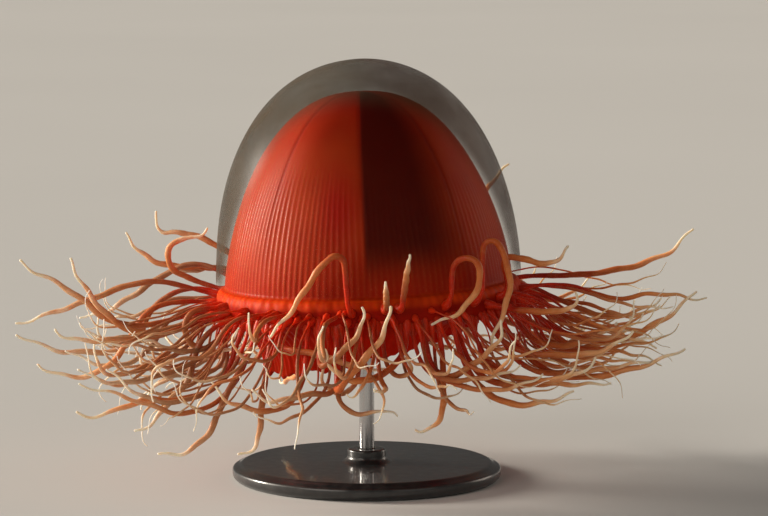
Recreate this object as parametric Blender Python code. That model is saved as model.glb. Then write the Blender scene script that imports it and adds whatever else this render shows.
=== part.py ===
"""A deep-sea jellyfish (a Crossota hydromedusa) at life size, held over a round base by one rod.

Metres, +Z up. The origin is the middle of the base's underside. The animal hangs from an empty at the
middle of its bell margin, which leans it; everything of the animal is drawn in that empty's space.
"""

import math
import random
from collections import namedtuple

import bmesh
import bpy
import numpy as np
from mathutils import Euler, Vector

MM = 0.001
GAP = 0.3 * MM  # left between pieces that meet

# The bell. Heights are above the plane of the margin.
BELL_RADIUS = 18.1 * MM
BELL_HEIGHT = 27.2 * MM
LINING_RADIUS = 17.1 * MM
LINING_HEIGHT = 23.4 * MM
LINING_WALL = 0.7 * MM
JELLY_FULLNESS = (0.92, 0.909)  # powers of cosine and sine: lower is boxier
LINING_FULLNESS = (0.84, 1.333)
BELL_SEGMENTS = 28
BELL_RINGS = 8

# The margin ring, and the velum that hangs inside it as a tapering skirt, much longer on the left.
RING_RADIUS = 17.2 * MM
RING_HALF_WIDTH = 0.9 * MM
RING_HALF_HEIGHT = 1.6 * MM
RING_DROP = 0.8 * MM  # its middle is this far below the plane of the margin
RING_TOP = RING_HALF_HEIGHT - RING_DROP
VELUM_TOP = -(RING_HALF_HEIGHT + RING_DROP + GAP)
VELUM_TOP_RADIUS = 16.3 * MM
VELUM_MOUTH_RADIUS = 12.5 * MM
VELUM_DEPTH = 3.9 * MM
VELUM_SLANT = 2.5 * MM
VELUM_TAPER = 2.4
VELUM_WALL = 0.55 * MM
VELUM_RINGS = 3

# Inside the bell: the manubrium, which ends in the mouth, and eight gonads round its top.
MOUTH_HEIGHT = 6.0 * MM
MANUBRIUM_RADIUS = 1.7 * MM
GONADS = 8
GONAD_RADIUS = 1.15 * MM
GONAD_LENGTH = 8.0 * MM
GONAD_CIRCLE = 5.6 * MM

# The stand and the pose.
BASE_RADIUS = 16.0 * MM
BASE_THICKNESS = 2.0 * MM
COLLAR_RADIUS = 2.3 * MM
COLLAR_HEIGHT = 3.6 * MM
SOCKET_FLOOR = 1.0 * MM
ROD_RADIUS = 0.9 * MM
LEAN = math.radians(2.5)
MARGIN_HEIGHT = 22.8 * MM

# Tentacles. Angles are in degrees: azimuths and headings count from +X towards +Y, a pitch from level,
# up is positive. Pitches and headings are spaced evenly from the root to the tip.
Tentacle = namedtuple("Tentacle", "azimuth tier pitches headings length")
TENTACLES = 40
TENTACLE_RADIUS = 0.38 * MM
TENTACLE_POINTS = 12
ARCH_POINTS = 18
TENTACLE_STEPS = 72
TIERS = (-4, -34, -66)  # where on the ring's outer side a row of tentacles leaves
WAVE = 4.0
DIVIDED_FROM = 25.4 * MM  # a tentacle this long is made as two lengths
LOWEST_TIP = 5.0 * MM
BELL_CLEARANCE = 0.8 * MM
SEED = 11

# The tentacles that give the animal its outline, its arches and the strands that cross in front of the
# bell, each with its own gesture: azimuth, tier, pitches, headings and length in mm.
LEFT_TENTACLES = (
    (171, 12, (18, 14, -8, -20, -20, -8), (176, 180, 180), 25.4),
    (186, -20, (-8, -12, 6, 43, 34, 33), (186, 182, 178), 25.6),
    (192, -24, (-14, -24, 4, 50, 56, 64), (190, 184, 180), 22),
    (146, 34, (32, 10, 6, 6, 38, 70), (146, 170, 178), 17.4),
    (132, 30, (34, 24, 26, 20, 2, 112), (135, 165, 172), 18.8),
    (159, 16, (12, 17, 26, 105, 178, 135), (162, 176, 180), 15.5),
    (153, 44, (36, 14, -24, -38, -26, 8), (155, 166, 172), 22.6),
    (165, 4, (30, -18, -72, 0, 14, 30), (168, 178, 184), 29),
    (182, 0, (8, -6, -55, -46, -2, 42), (182, 184, 180), 25.2),
    (199, -50, (2, -10, -8, -2, 6, 42), (203, 194, 186), 20.8),
    (215, -60, (-65, -65, -15, 15, -26, 18), (214, 202, 188), 25.2),
    (207, -40, (-10, -45, -75, -42, -55, -5), (206, 196, 184), 18),
    (231, -75, (-66, -74, -80, -84, -70, 5), (229, 212, 190), 16),
    (224, -60, (-62, -58, -56, -58, -30, 14), (224, 205, 190), 20.3),
    (203, 6, (-3, 0, -80, -152, -180, -200), (207, 190, 188), 14.4),
)
FRONT_TENTACLES = (
    (264, 6, (10, 85, 92, 80, -45, -52, -52, -50, -46, -48), (264, 210, 184, 180, 180), 20),
    (276, 14, (-20, 95, 90), (277, 277, 277), 4.4),
    (281, 14, (-10, 84, 78, 76, 80, 84), (286, 350, 360), 7),
    (252, -40, (-60, -70, -40, 25, 42, 48, 65, 95), (262, 270, 330, 360, 350), 15),
    (299, 14, (30, 88, 76, 5, -80, -120, -140, -155, -170), (300, 340, 350, 360, 360), 18.2),
    (312, 14, (30, 88, 90, 84, -60, -80, -90, -105, -112, -110, -112), (318, 340, 360, 370, 370), 22),
    (291, -70, (-80, -78, -40, 32, 38, 42, 95), (285, 320, 350, 360), 17),
    (297, -85, (-75, -85, -88, -95, -130, -190), (300, 330, 350), 14.5),
)
RIGHT_TENTACLES = (
    (27, 4, (6, -2, -3, 10, 28, 48), (18, 4, 0), 25),
    (345, -30, (-42, -37, -12, 22, 26, 50), (350, 362, 364), 24),
    (326, -50, (-65, -50, -15, 4, 18, 32), (335, 352, 360), 25.6),
    (318, -62, (-60, -35, -8, 2, 18, 40), (330, 350, 360), 19.8),
    (335, -24, (-80, -60, -14, 8, 16, 46), (340, 355, 370), 15.6),
    (305, -76, (-78, -60, -18, 6, 14, 50), (310, 345, 360), 21.3),
    (319, -6, (-10, -12, -8, 2, 10, 100), (330, 360, 370), 11.8),
    (302, -50, (-78, -66, -42, -20, 10, 25), (300, 340, 360), 20),
    (326, 14, (20, 92, 110, -10, -22, -6, 40, 52), (326, 345, 370, 370), 13.2),
    (60, 16, (28, 48, 50, 48, 44, 36), (60, 45, 20), 17.5),
)


def principled(name, colour, roughness, metallic=0.0):
    """A material of one colour."""
    material = bpy.data.materials.new(name)
    material.use_nodes = True
    shader = material.node_tree.nodes["Principled BSDF"]
    shader.inputs["Base Color"].default_value = (*colour, 1.0)
    shader.inputs["Roughness"].default_value = roughness
    shader.inputs["Metallic"].default_value = metallic
    material.diffuse_color = (*colour, 1.0)
    return material


def add_object(name, data, material, parent=None):
    """Puts a mesh or a curve in the scene, under its parent."""
    data.materials.append(material)
    made = bpy.data.objects.new(name, data)
    made.parent = parent
    bpy.context.scene.collection.objects.link(made)
    return made


def turned_mesh(name, profile, segments, closed=False):
    """The profile, a list of (radius, height), turned once round Z. A closed profile makes a ring."""
    shape = bmesh.new()
    points = [shape.verts.new((radius, 0.0, height)) for radius, height in profile]
    pairs = list(zip(points, points[1:]))
    if closed:
        pairs.append((points[-1], points[0]))
    edges = [shape.edges.new(pair) for pair in pairs]
    bmesh.ops.spin(
        shape,
        geom=points + edges,
        cent=(0, 0, 0),
        axis=(0, 0, 1),
        angle=math.tau,
        steps=segments,
        use_merge=True,
    )
    bmesh.ops.remove_doubles(shape, verts=shape.verts, dist=1e-6)
    bmesh.ops.recalc_face_normals(shape, faces=shape.faces)
    mesh = bpy.data.meshes.new(name)
    shape.to_mesh(mesh)
    shape.free()
    mesh.shade_smooth()
    return mesh


def dome(radius, height, fullness, rim):
    """A dome's outline from its rim, at that height, to its top: radius cos^a against height sin^b."""
    start = math.asin((rim / height) ** (1 / fullness[1]))
    turns = [start + (math.pi / 2 - start) * step / BELL_RINGS for step in range(BELL_RINGS)]
    outline = [(radius * math.cos(t) ** fullness[0], height * math.sin(t) ** fullness[1]) for t in turns]
    return outline + [(0.0, height)]


def cup(name, outer, inner, material, parent):
    """A bell-shaped wall between two dome outlines."""
    add_object(name, turned_mesh(name, outer[::-1] + inner, BELL_SEGMENTS), material, parent)


def make_jelly(parent):
    """The clear jelly, thick over the top and thin at the rim."""
    rim = RING_TOP + GAP
    outer = dome(BELL_RADIUS, BELL_HEIGHT, JELLY_FULLNESS, rim)
    inner = dome(LINING_RADIUS + GAP, LINING_HEIGHT + GAP, LINING_FULLNESS, rim)
    cup("bell_jelly", outer, inner, principled("clear_jelly", (0.36, 0.33, 0.28), 0.15), parent)


def make_lining(parent):
    """The red lining that carries the muscle and the radial canals."""
    rim = RING_TOP + GAP
    outer = dome(LINING_RADIUS, LINING_HEIGHT, LINING_FULLNESS, rim)
    inner = dome(LINING_RADIUS - LINING_WALL, LINING_HEIGHT - LINING_WALL, LINING_FULLNESS, rim)
    cup("bell_lining", outer, inner, principled("red_lining", (0.42, 0.04, 0.02), 0.4), parent)


def make_margin_ring(parent):
    """The thick bright ring round the bell's edge, from which the tentacles grow."""
    corners = 6
    profile = [
        (RING_RADIUS + RING_HALF_WIDTH * math.cos(turn), RING_HALF_HEIGHT * math.sin(turn) - RING_DROP)
        for turn in (math.tau * corner / corners for corner in range(corners))
    ]
    mesh = turned_mesh("margin_ring", profile, BELL_SEGMENTS, closed=True)
    add_object("margin_ring", mesh, principled("margin_red", (0.72, 0.06, 0.02), 0.4), parent)


def make_velum(parent):
    """The velum: a thin skirt that tapers to the mouth of the bell and hangs lower on the left."""
    taper = VELUM_TOP_RADIUS - VELUM_MOUTH_RADIUS
    middle = [
        (VELUM_MOUTH_RADIUS + taper * (1 - share) ** VELUM_TAPER, VELUM_TOP - VELUM_DEPTH * share)
        for share in (step / VELUM_RINGS for step in range(VELUM_RINGS + 1))
    ]
    outer = [(radius + VELUM_WALL / 2, height) for radius, height in middle]
    inner = [(radius - VELUM_WALL / 2, height) for radius, height in middle]
    mesh = turned_mesh("velum", outer + inner[::-1], BELL_SEGMENTS, closed=True)
    for vertex in mesh.vertices:
        hang = (VELUM_TOP - vertex.co.z) / VELUM_DEPTH
        vertex.co.z += VELUM_SLANT * hang * vertex.co.x / VELUM_MOUTH_RADIUS
    add_object("velum", mesh, principled("velum_red", (0.3, 0.02, 0.01), 0.4), parent)


def make_manubrium(parent):
    """The stomach tube that hangs from the top of the lining and ends in the flared lips of the mouth."""
    top = LINING_HEIGHT - LINING_WALL - 1.4 * GAP
    profile = [
        (0.0, top),
        (1.5 * MANUBRIUM_RADIUS, top - 0.5 * MM),
        (1.1 * MANUBRIUM_RADIUS, 0.82 * top),
        (1.25 * MANUBRIUM_RADIUS, 0.6 * top),
        (0.9 * MANUBRIUM_RADIUS, 0.4 * top),
        (1.35 * MANUBRIUM_RADIUS, MOUTH_HEIGHT + 0.7 * MM),
        (1.2 * MANUBRIUM_RADIUS, MOUTH_HEIGHT),
        (0.0, MOUTH_HEIGHT),
    ]
    mesh = turned_mesh("manubrium", profile, 12)
    add_object("manubrium", mesh, principled("stomach_red", (0.36, 0.03, 0.02), 0.45), parent)


def make_gonads(parent):
    """Eight sausages, one under each radial canal, hanging round the top of the manubrium."""
    material = principled("gonad_red", (0.5, 0.1, 0.06), 0.45)
    top = 20.6 * MM
    half = GONAD_LENGTH / 2
    profile = [
        (GONAD_RADIUS * math.cos(turn), half * math.sin(turn))
        for turn in (math.pi * (step / 5 - 0.5) for step in range(1, 5))
    ]
    mesh = turned_mesh("gonad", [(0.0, -half)] + profile + [(0.0, half)], 7)
    mesh.materials.append(material)
    for place in range(GONADS):
        azimuth = math.tau * place / GONADS
        gonad = bpy.data.objects.new(f"gonad_{place + 1}", mesh)
        gonad.parent = parent
        gonad.location = (GONAD_CIRCLE * math.cos(azimuth), GONAD_CIRCLE * math.sin(azimuth), top - half)
        bpy.context.scene.collection.objects.link(gonad)


def along(share, values):
    """Values spaced evenly from root to tip, read at each share of the way."""
    return np.interp(share, np.linspace(0, 1, len(values)), values)


def gesture(tentacle, phase, share):
    """(pitch, heading) in radians along a tentacle: its own, wavering a little past the root."""
    wave = WAVE * np.minimum(3 * share, 1)
    pitch = along(share, tentacle.pitches) + wave * np.sin(math.tau * (1.7 * share + phase))
    heading = along(share, tentacle.headings) + wave * np.sin(math.tau * (1.2 * share + 1.6 * phase + 0.3))
    return np.radians(pitch), np.radians(heading)


def centreline(tentacle, phase):
    """A tentacle's middle line, grown step by step from the ring in the empty's space."""
    pitch, heading = gesture(tentacle, phase, (np.arange(TENTACLE_STEPS) + 0.5) / TENTACLE_STEPS)
    way = np.stack([np.cos(pitch) * np.cos(heading), np.cos(pitch) * np.sin(heading), np.sin(pitch)], 1)
    azimuth, tier = math.radians(tentacle.azimuth), math.radians(tentacle.tier)
    reach = RING_RADIUS + (RING_HALF_WIDTH + GAP) * math.cos(tier)
    height = (RING_HALF_HEIGHT + GAP) * math.sin(tier) - RING_DROP
    root = np.array([reach * math.cos(azimuth), reach * math.sin(azimuth), height])
    return np.concatenate([root[None], root + np.cumsum(way, 0) * tentacle.length / TENTACLE_STEPS])


def thickness(share, middle):
    """A tentacle's radius along its length: a thin root, thickest past the middle, a blunt thin tip."""
    swell = 0.66 + 0.34 * np.sin(math.pi * np.clip(share / 0.95, 0, 1) ** 1.15)
    return middle * swell * (1 - 0.1 * np.clip((share - 0.7) / 0.3, 0, 1))


def lean_matrix():
    return Euler((0, -LEAN, 0)).to_matrix()


def margin_centre():
    """Where the middle of the margin stands, so that the mouth is straight over the rod."""
    return Vector((MOUTH_HEIGHT * math.sin(LEAN), 0, MARGIN_HEIGHT))


def clears_body(line):
    """Whether a tentacle's line stays outside the bell, the ring and the velum, and above the base."""
    past_root = line[8:]
    out, height = np.hypot(past_root[:, 0], past_root[:, 1]), past_root[:, 2]
    nearest = np.select(
        [height > VELUM_TOP, height > VELUM_TOP - 0.6 * VELUM_DEPTH, height > VELUM_TOP - VELUM_DEPTH - VELUM_SLANT],
        [BELL_RADIUS + BELL_CLEARANCE, VELUM_TOP_RADIUS + 0.6 * MM, VELUM_MOUTH_RADIUS + 1.7 * MM],
        4 * MM,
    )
    world_z = line @ np.array(lean_matrix()).T[:, 2] + margin_centre().z
    return bool((out > nearest).all() and world_z.min() > LOWEST_TIP)


def clearance(line, radii, other, other_radii):
    """The least distance between the surfaces of two tentacles."""
    apart = np.linalg.norm(line[:, None] - other[None], axis=2)
    return float((apart - radii[:, None] - other_radii[None]).min())


def widest_gap(azimuths):
    """The middle and the width of the widest stretch of margin with no tentacle."""
    ordered = sorted(azimuths)
    gaps = [(after - before, before) for before, after in zip(ordered, ordered[1:] + [ordered[0] + 360])]
    width, before = max(gaps)
    return before + width / 2, width


def draw_tentacle(chance, azimuth, tier):
    """A tentacle by chance: it droops from its tier, lifts towards the tip, and hooks up, down or aside."""
    side = math.cos(math.radians(azimuth))
    front = -math.sin(math.radians(azimuth))
    leave = tier + chance.uniform(-9, 9)
    droop = leave - chance.uniform(0, 26)
    lift = chance.uniform(-30, 24)
    rise = lift + chance.uniform(0, 40)
    hook = rise + chance.choice((-1, 1)) * chance.uniform(10, 80)
    veer = chance.uniform(-28, 28)
    turn = veer * 1.3 + chance.uniform(-40, 40)
    return Tentacle(
        azimuth=azimuth,
        tier=leave,
        pitches=(leave, droop, 0.6 * droop + 0.4 * lift, lift, rise, hook),
        headings=(azimuth, azimuth + veer, azimuth + turn),
        length=(22.5 - 1.8 * side - 1.5 * front + chance.uniform(-4, 3)) * MM,
    )


def grow_tentacles():
    """(tentacle, line) for each tentacle: first those with a given gesture, then one in each widest gap.

    A drawn gesture that would touch the body or another tentacle is drawn again.
    """
    chance = random.Random(SEED)
    grown = []
    for rank, numbers in enumerate(LEFT_TENTACLES + FRONT_TENTACLES + RIGHT_TENTACLES):
        tentacle = Tentacle(*numbers)
        tentacle = tentacle._replace(length=tentacle.length * MM)
        grown.append((tentacle, centreline(tentacle, 0.37 * rank % 1)))
    radii = thickness(np.linspace(0, 1, TENTACLE_STEPS + 1), TENTACLE_RADIUS)[::3]
    while len(grown) < TENTACLES:
        middle, width = widest_gap([tentacle.azimuth % 360 for tentacle, _ in grown])
        tier = TIERS[len(grown) % len(TIERS)]
        while True:
            azimuth = (middle + chance.uniform(-0.15, 0.15) * width) % 360
            tentacle = draw_tentacle(chance, azimuth, tier)
            line = centreline(tentacle, chance.random())
            free = all(clearance(line[::3], radii, other[::3], radii) > 1.2 * GAP for _, other in grown)
            if free and clears_body(line):
                break
        grown.append((tentacle, line))
    return grown


def tentacle_curve(name, line, radii, material, parent):
    """One length of a tentacle: a six-sided tube along the line, with closed ends."""
    curve = bpy.data.curves.new(name, "CURVE")
    curve.dimensions = "3D"
    curve.bevel_depth = TENTACLE_RADIUS
    curve.bevel_resolution = 1
    curve.use_fill_caps = True
    spline = curve.splines.new("POLY")
    spline.points.add(len(line) - 1)
    for point, place, radius in zip(spline.points, line, radii):
        point.co = (*place, 1.0)
        point.radius = radius / TENTACLE_RADIUS
    add_object(name, curve, material, parent)


def make_tentacles(parent):
    """Forty of the tentacles, spread over the whole margin. The longest are parted in the middle."""
    material = principled("tentacle_flesh", (0.55, 0.28, 0.16), 0.35)
    shares = np.linspace(0, 1, TENTACLE_STEPS + 1)
    for rank, (tentacle, line) in enumerate(grow_tentacles(), 1):
        points = ARCH_POINTS if len(tentacle.pitches) > 7 else TENTACLE_POINTS
        stretches = {f"tentacle_{rank:02d}": (0.0, 1.0, points)}
        if tentacle.length >= DIVIDED_FROM:
            parting = GAP / tentacle.length
            stretches = {
                f"tentacle_{rank:02d}_root": (0.0, 0.5 - parting / 2, points // 2),
                f"tentacle_{rank:02d}_tip": (0.5 + parting / 2, 1.0, points // 2 + 1),
            }
        for name, (start, end, count) in stretches.items():
            wanted = np.linspace(start, end, count)
            places = np.stack([np.interp(wanted, shares, line[:, axis]) for axis in range(3)], 1)
            tentacle_curve(name, places, thickness(wanted, TENTACLE_RADIUS), material, parent)


def make_stand():
    """The round base, with a collar that seats the rod, and the rod that ends under the mouth."""
    lacquer = principled("base_lacquer", (0.045, 0.045, 0.05), 0.35)
    steel = principled("rod_steel", (0.6, 0.6, 0.62), 0.25, metallic=1.0)
    bevel = 0.5 * MM
    bore = ROD_RADIUS + GAP
    base = [
        (0.0, 0.0),
        (BASE_RADIUS, 0.0),
        (BASE_RADIUS, BASE_THICKNESS - bevel),
        (BASE_RADIUS - bevel, BASE_THICKNESS),
        (COLLAR_RADIUS + bevel, BASE_THICKNESS),
        (COLLAR_RADIUS, BASE_THICKNESS + bevel),
        (COLLAR_RADIUS, COLLAR_HEIGHT - bevel / 2),
        (COLLAR_RADIUS - bevel / 2, COLLAR_HEIGHT),
        (bore, COLLAR_HEIGHT),
        (bore, SOCKET_FLOOR),
        (0.0, SOCKET_FLOOR),
    ]
    add_object("stand_base", turned_mesh("stand_base", base, 32), lacquer)

    bottom = SOCKET_FLOOR + GAP
    top = MARGIN_HEIGHT + MOUTH_HEIGHT * math.cos(LEAN) - 1.5 * GAP
    rod = [
        (0.0, bottom),
        (ROD_RADIUS, bottom),
        (ROD_RADIUS, top - bevel),
        (ROD_RADIUS - bevel, top),
        (0.0, top),
    ]
    add_object("stand_rod", turned_mesh("stand_rod", rod, 12), steel)


def main():
    for old in list(bpy.data.objects):
        bpy.data.objects.remove(old)
    animal = bpy.data.objects.new("animal", None)
    animal.location = margin_centre()
    animal.rotation_euler = (0, -LEAN, 0)
    bpy.context.scene.collection.objects.link(animal)
    make_jelly(animal)
    make_lining(animal)
    make_margin_ring(animal)
    make_velum(animal)
    make_manubrium(animal)
    make_gonads(animal)
    make_tentacles(animal)
    make_stand()


main()
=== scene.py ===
"""A deep-sea jellyfish of the genus Crossota, as a life-size display model on a small stand.

Metres, +Z up, with the origin under the middle of the base. The animal is drawn in a space of its own,
whose middle is the middle of the bell's margin, and placed from there.
"""

import math
import random
from collections import namedtuple

import bpy
import numpy as np
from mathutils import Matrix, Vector


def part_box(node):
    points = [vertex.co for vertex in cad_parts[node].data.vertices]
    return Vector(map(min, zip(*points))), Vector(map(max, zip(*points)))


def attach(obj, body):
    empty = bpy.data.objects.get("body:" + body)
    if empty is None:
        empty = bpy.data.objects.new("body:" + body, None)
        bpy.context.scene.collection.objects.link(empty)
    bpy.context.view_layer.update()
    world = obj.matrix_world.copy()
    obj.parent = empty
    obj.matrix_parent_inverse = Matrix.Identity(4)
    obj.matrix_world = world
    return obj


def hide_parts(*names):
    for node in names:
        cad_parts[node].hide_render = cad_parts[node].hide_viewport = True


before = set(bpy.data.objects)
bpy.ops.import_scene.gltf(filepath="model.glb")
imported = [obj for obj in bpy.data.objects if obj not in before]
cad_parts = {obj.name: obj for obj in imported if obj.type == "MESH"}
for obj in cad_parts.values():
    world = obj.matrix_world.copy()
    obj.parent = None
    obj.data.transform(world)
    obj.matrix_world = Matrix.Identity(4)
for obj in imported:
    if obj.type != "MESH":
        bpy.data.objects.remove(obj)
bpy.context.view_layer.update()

# ---- The studio
# A wide pale floor under soft warm lights: a strong one low on the left, as a diver's lamp would
# stand, and weak ones in front, on the right and behind. The camera looks from a little above level.
MM = 0.001
LEAN = math.radians(2.5)
MARGIN_HEIGHT = 22.8 * MM
MOUTH_HEIGHT = 6.0 * MM  # of the stomach's mouth above the margin; it is right over the stand's rod
MARGIN_CENTRE = np.array([MOUTH_HEIGHT * math.sin(LEAN), 0.0, MARGIN_HEIGHT])
CAMERA_ELEVATION = math.radians(6.5)
CAMERA_DISTANCE = 0.4
CAMERA_LENS = 158.25
AIM_BESIDE_MARGIN = np.array([1.8, 0.0, 3.6]) * MM
FLOOR_RADIUS = 3.0
FLOOR_THICKNESS = 0.02


def add_node(tree, kind, feeds=None, **settings):
    """A node of that kind. feeds gives its inputs, each a value or the output that drives it."""
    made = tree.nodes.new(kind)
    for name, value in settings.items():
        setattr(made, name, value)
    for name, value in (feeds or {}).items():
        if isinstance(value, bpy.types.NodeSocket):
            tree.links.new(value, made.inputs[name])
        else:
            made.inputs[name].default_value = value
    return made


def shader_socket(tree, name):
    """An input of a material's Principled shader, by its name with underscores for spaces."""
    return tree.nodes["Principled BSDF"].inputs[name.replace("_", " ")]


def new_finish(name, **sockets):
    """A material and its tree, with these sockets of its Principled shader set."""
    material = bpy.data.materials.new(name)
    material.use_nodes = True
    for socket, value in sockets.items():
        shader_socket(material.node_tree, socket).default_value = value
    return material, material.node_tree


def drive(tree, **outputs):
    """Drives sockets of a material's Principled shader by the outputs of other nodes."""
    for socket, output in outputs.items():
        tree.links.new(output, shader_socket(tree, socket))


def on_object(tree):
    """The Object coordinates."""
    return add_node(tree, "ShaderNodeTexCoord").outputs["Object"]


def noise(tree, place, scale, detail, roughness=0.5):
    """Cloudy noise at a place, from 0 to 1."""
    feeds = {"Vector": place, "Scale": scale, "Detail": detail, "Roughness": roughness}
    return add_node(tree, "ShaderNodeTexNoise", feeds).outputs["Fac"]


def banded(tree, value, bands):
    """A colour ramp read at a value: bands is a list of (place, colour)."""
    made = add_node(tree, "ShaderNodeValToRGB", {"Fac": value})
    ramp = made.color_ramp
    while len(ramp.elements) < len(bands):
        ramp.elements.new(0.5)
    for element, (place, colour) in zip(ramp.elements, bands):
        element.position = place
        element.color = (*colour, 1)
    return made.outputs["Color"]


def new_object(name, data):
    """An object of that mesh, light or camera, in the scene."""
    made = bpy.data.objects.new(name, data)
    bpy.context.scene.collection.objects.link(made)
    return made


def skin_mesh(name, skins, material):
    """One object made of closed skins.

    A skin is (points, marks). Its points are rings, an array of rings x columns x 3 whose first and
    last ring shrink to one point each, and whose columns turn anticlockwise about the way the rings
    go. Neighbouring rings are joined by quads, and each end by a fan of triangles. marks gives each
    named attribute as an array of rings x columns.
    """
    places, quads, fans, marks, count = [], [], [], {}, 0
    for points, marked in skins:
        rings, columns = points.shape[0] - 2, points.shape[1]
        index = count + 1 + np.arange(rings * columns).reshape(rings, columns)
        beside = np.roll(index, -1, axis=1)
        quads.append(np.stack([index[:-1], beside[:-1], beside[1:], index[1:]], -1).reshape(-1, 4))
        first, last = np.full(columns, count), np.full(columns, count + 1 + rings * columns)
        fans.append(np.stack([first, beside[0], index[0]], -1))
        fans.append(np.stack([last, index[-1], beside[-1]], -1))
        places.append(np.concatenate([points[:1, 0], points[1:-1].reshape(-1, 3), points[-1:, 0]]))
        for mark, values in marked.items():
            values = np.broadcast_to(values, points.shape[:2])
            flat = np.concatenate([values[:1, 0], values[1:-1].ravel(), values[-1:, 0]])
            marks.setdefault(mark, []).append(flat)
        count += rings * columns + 2
    places, quads, fans = (np.concatenate(part) for part in (places, quads, fans))
    corners = np.concatenate([quads.ravel(), fans.ravel()])
    sizes = np.concatenate([np.full(len(quads), 4), np.full(len(fans), 3)])
    mesh = bpy.data.meshes.new(name)
    mesh.vertices.add(len(places))
    mesh.vertices.foreach_set("co", places.astype(np.float32).ravel())
    mesh.loops.add(len(corners))
    mesh.loops.foreach_set("vertex_index", corners.astype(np.int32))
    mesh.polygons.add(len(sizes))
    mesh.polygons.foreach_set("loop_start", (np.cumsum(sizes) - sizes).astype(np.int32))
    mesh.update(calc_edges=True)
    mesh.shade_smooth()
    for mark, values in marks.items():
        attribute = mesh.attributes.new(mark, "FLOAT", "POINT")
        attribute.data.foreach_set("value", np.concatenate(values).astype(np.float32))
    mesh.materials.append(material)
    return new_object(name, mesh)


def once_round(columns):
    """Evenly spaced angles round a full turn."""
    return np.linspace(0, math.tau, columns, endpoint=False)


def turned(profile, columns):
    """A profile of (radius, height) rows turned once round Z, as rings of points."""
    profile, azimuth = np.asarray(profile, float), once_round(columns)
    radius, height = profile[:, :1], profile[:, 1:]
    return np.stack([radius * np.cos(azimuth), radius * np.sin(azimuth), height + 0 * azimuth], -1)


floor_material, floor_tree = new_finish("pale_floor", Roughness=1.0, Specular_IOR_Level=0.0)
floor_cloud = noise(floor_tree, on_object(floor_tree), 3.0, detail=3.0)
floor_tone = banded(floor_tree, floor_cloud, [(0.0, (0.62, 0.62, 0.61)), (1.0, (0.68, 0.68, 0.67))])
drive(floor_tree, Base_Color=floor_tone)
floor_profile = [(0, -FLOOR_THICKNESS), (FLOOR_RADIUS, -FLOOR_THICKNESS), (FLOOR_RADIUS, 0), (0, 0)]
floor = skin_mesh("floor", [(turned(floor_profile, 96), {})], floor_material)
floor.data.shade_flat()


def look(thing, place, target):
    """Puts a light or the camera at a place, looking at a target."""
    thing.location = place
    thing.rotation_euler = (Vector(target) - Vector(place)).to_track_quat("-Z", "Y").to_euler()


def direction(pitch, heading):
    """The unit vector at a pitch above level and a heading from +X, both in radians."""
    level = np.cos(pitch)
    return np.stack([level * np.cos(heading), level * np.sin(heading), np.sin(pitch)], -1)


def soft_light(name, azimuth, elevation, strength, width, colour):
    """A broad far light from a direction: azimuth from +X, elevation and width in degrees."""
    lamp = bpy.data.lights.new(name, "SUN")
    lamp.energy, lamp.color, lamp.angle = strength, colour, math.radians(width)
    way = direction(math.radians(elevation), math.radians(azimuth))
    look(new_object(name, lamp), MARGIN_CENTRE + way, MARGIN_CENTRE)


soft_light("key_left", azimuth=164, elevation=17, strength=5.6, width=16, colour=(1.0, 0.91, 0.79))
soft_light("front_left", azimuth=230, elevation=26, strength=0.8, width=40, colour=(1.0, 0.90, 0.80))
soft_light("fill_right", azimuth=312, elevation=24, strength=0.15, width=40, colour=(1.0, 0.90, 0.80))
soft_light("back_right", azimuth=32, elevation=16, strength=0.40, width=30, colour=(1.0, 0.86, 0.74))

scene = bpy.context.scene
world = bpy.data.worlds.new("studio_air")
world.use_nodes = True
air = world.node_tree.nodes["Background"].inputs
air["Color"].default_value = (0.66, 0.64, 0.60, 1)
air["Strength"].default_value = 0.15
scene.world = world
scene.view_settings.view_transform = "Standard"

camera = new_object("camera", bpy.data.cameras.new("camera"))
camera.data.lens = CAMERA_LENS
camera.data.clip_start, camera.data.clip_end = 0.01, 10.0
aim_at = MARGIN_CENTRE + AIM_BESIDE_MARGIN
look(camera, aim_at + CAMERA_DISTANCE * direction(CAMERA_ELEVATION, math.radians(-90)), aim_at)
scene.camera = camera

# ---- The stand
# A turned round base, lacquered black, with a collar that grips a thin polished steel rod. The rod
# goes up through the mouth of the bell and ends in the lips of the jellyfish's stomach tube.
BASE_RADIUS = 16.0 * MM
BASE_THICKNESS = 2.0 * MM
FOOT_CHAMFER = 0.5 * MM
EDGE_BEVEL = 1.2 * MM
COLLAR_RADIUS = 2.3 * MM
COLLAR_HEIGHT = 3.6 * MM
COLLAR_FLARE = 0.6 * MM
SOCKET_DEPTH = 0.4 * MM
ROD_RADIUS = 0.9 * MM
ROD_FIT = 0.05 * MM
ROD_FOOT = COLLAR_HEIGHT - 1.0 * MM
ROD_TOP = float(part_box("stand_rod")[1].z)


def rounded(corners, radius, steps=5):
    """A profile with its inner corners rounded: near each corner it follows a quadratic Bezier."""
    corners = np.asarray(corners, float)
    rows = [corners[:1]]
    for before, corner, after in zip(corners, corners[1:], corners[2:]):
        ends = []
        for other in (before, after):
            gap = np.linalg.norm(other - corner)
            ends.append(corner + (other - corner) * min(radius, 0.45 * gap) / gap)
        share = np.linspace(0, 1, steps)[:, None]
        pulls = (1 - share) ** 2, 2 * share * (1 - share), share**2
        rows.append(pulls[0] * ends[0] + pulls[1] * corner + pulls[2] * ends[1])
    return np.concatenate([*rows, corners[-1:]])


def ranged(tree, value, low, high, start=0.0, end=1.0, **settings):
    """A value rescaled so that start to end becomes low to high, and held at those ends."""
    feeds = {"Value": value, "From Min": start, "From Max": end, "To Min": low, "To Max": high}
    return add_node(tree, "ShaderNodeMapRange", feeds, **settings).outputs["Result"]


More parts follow.
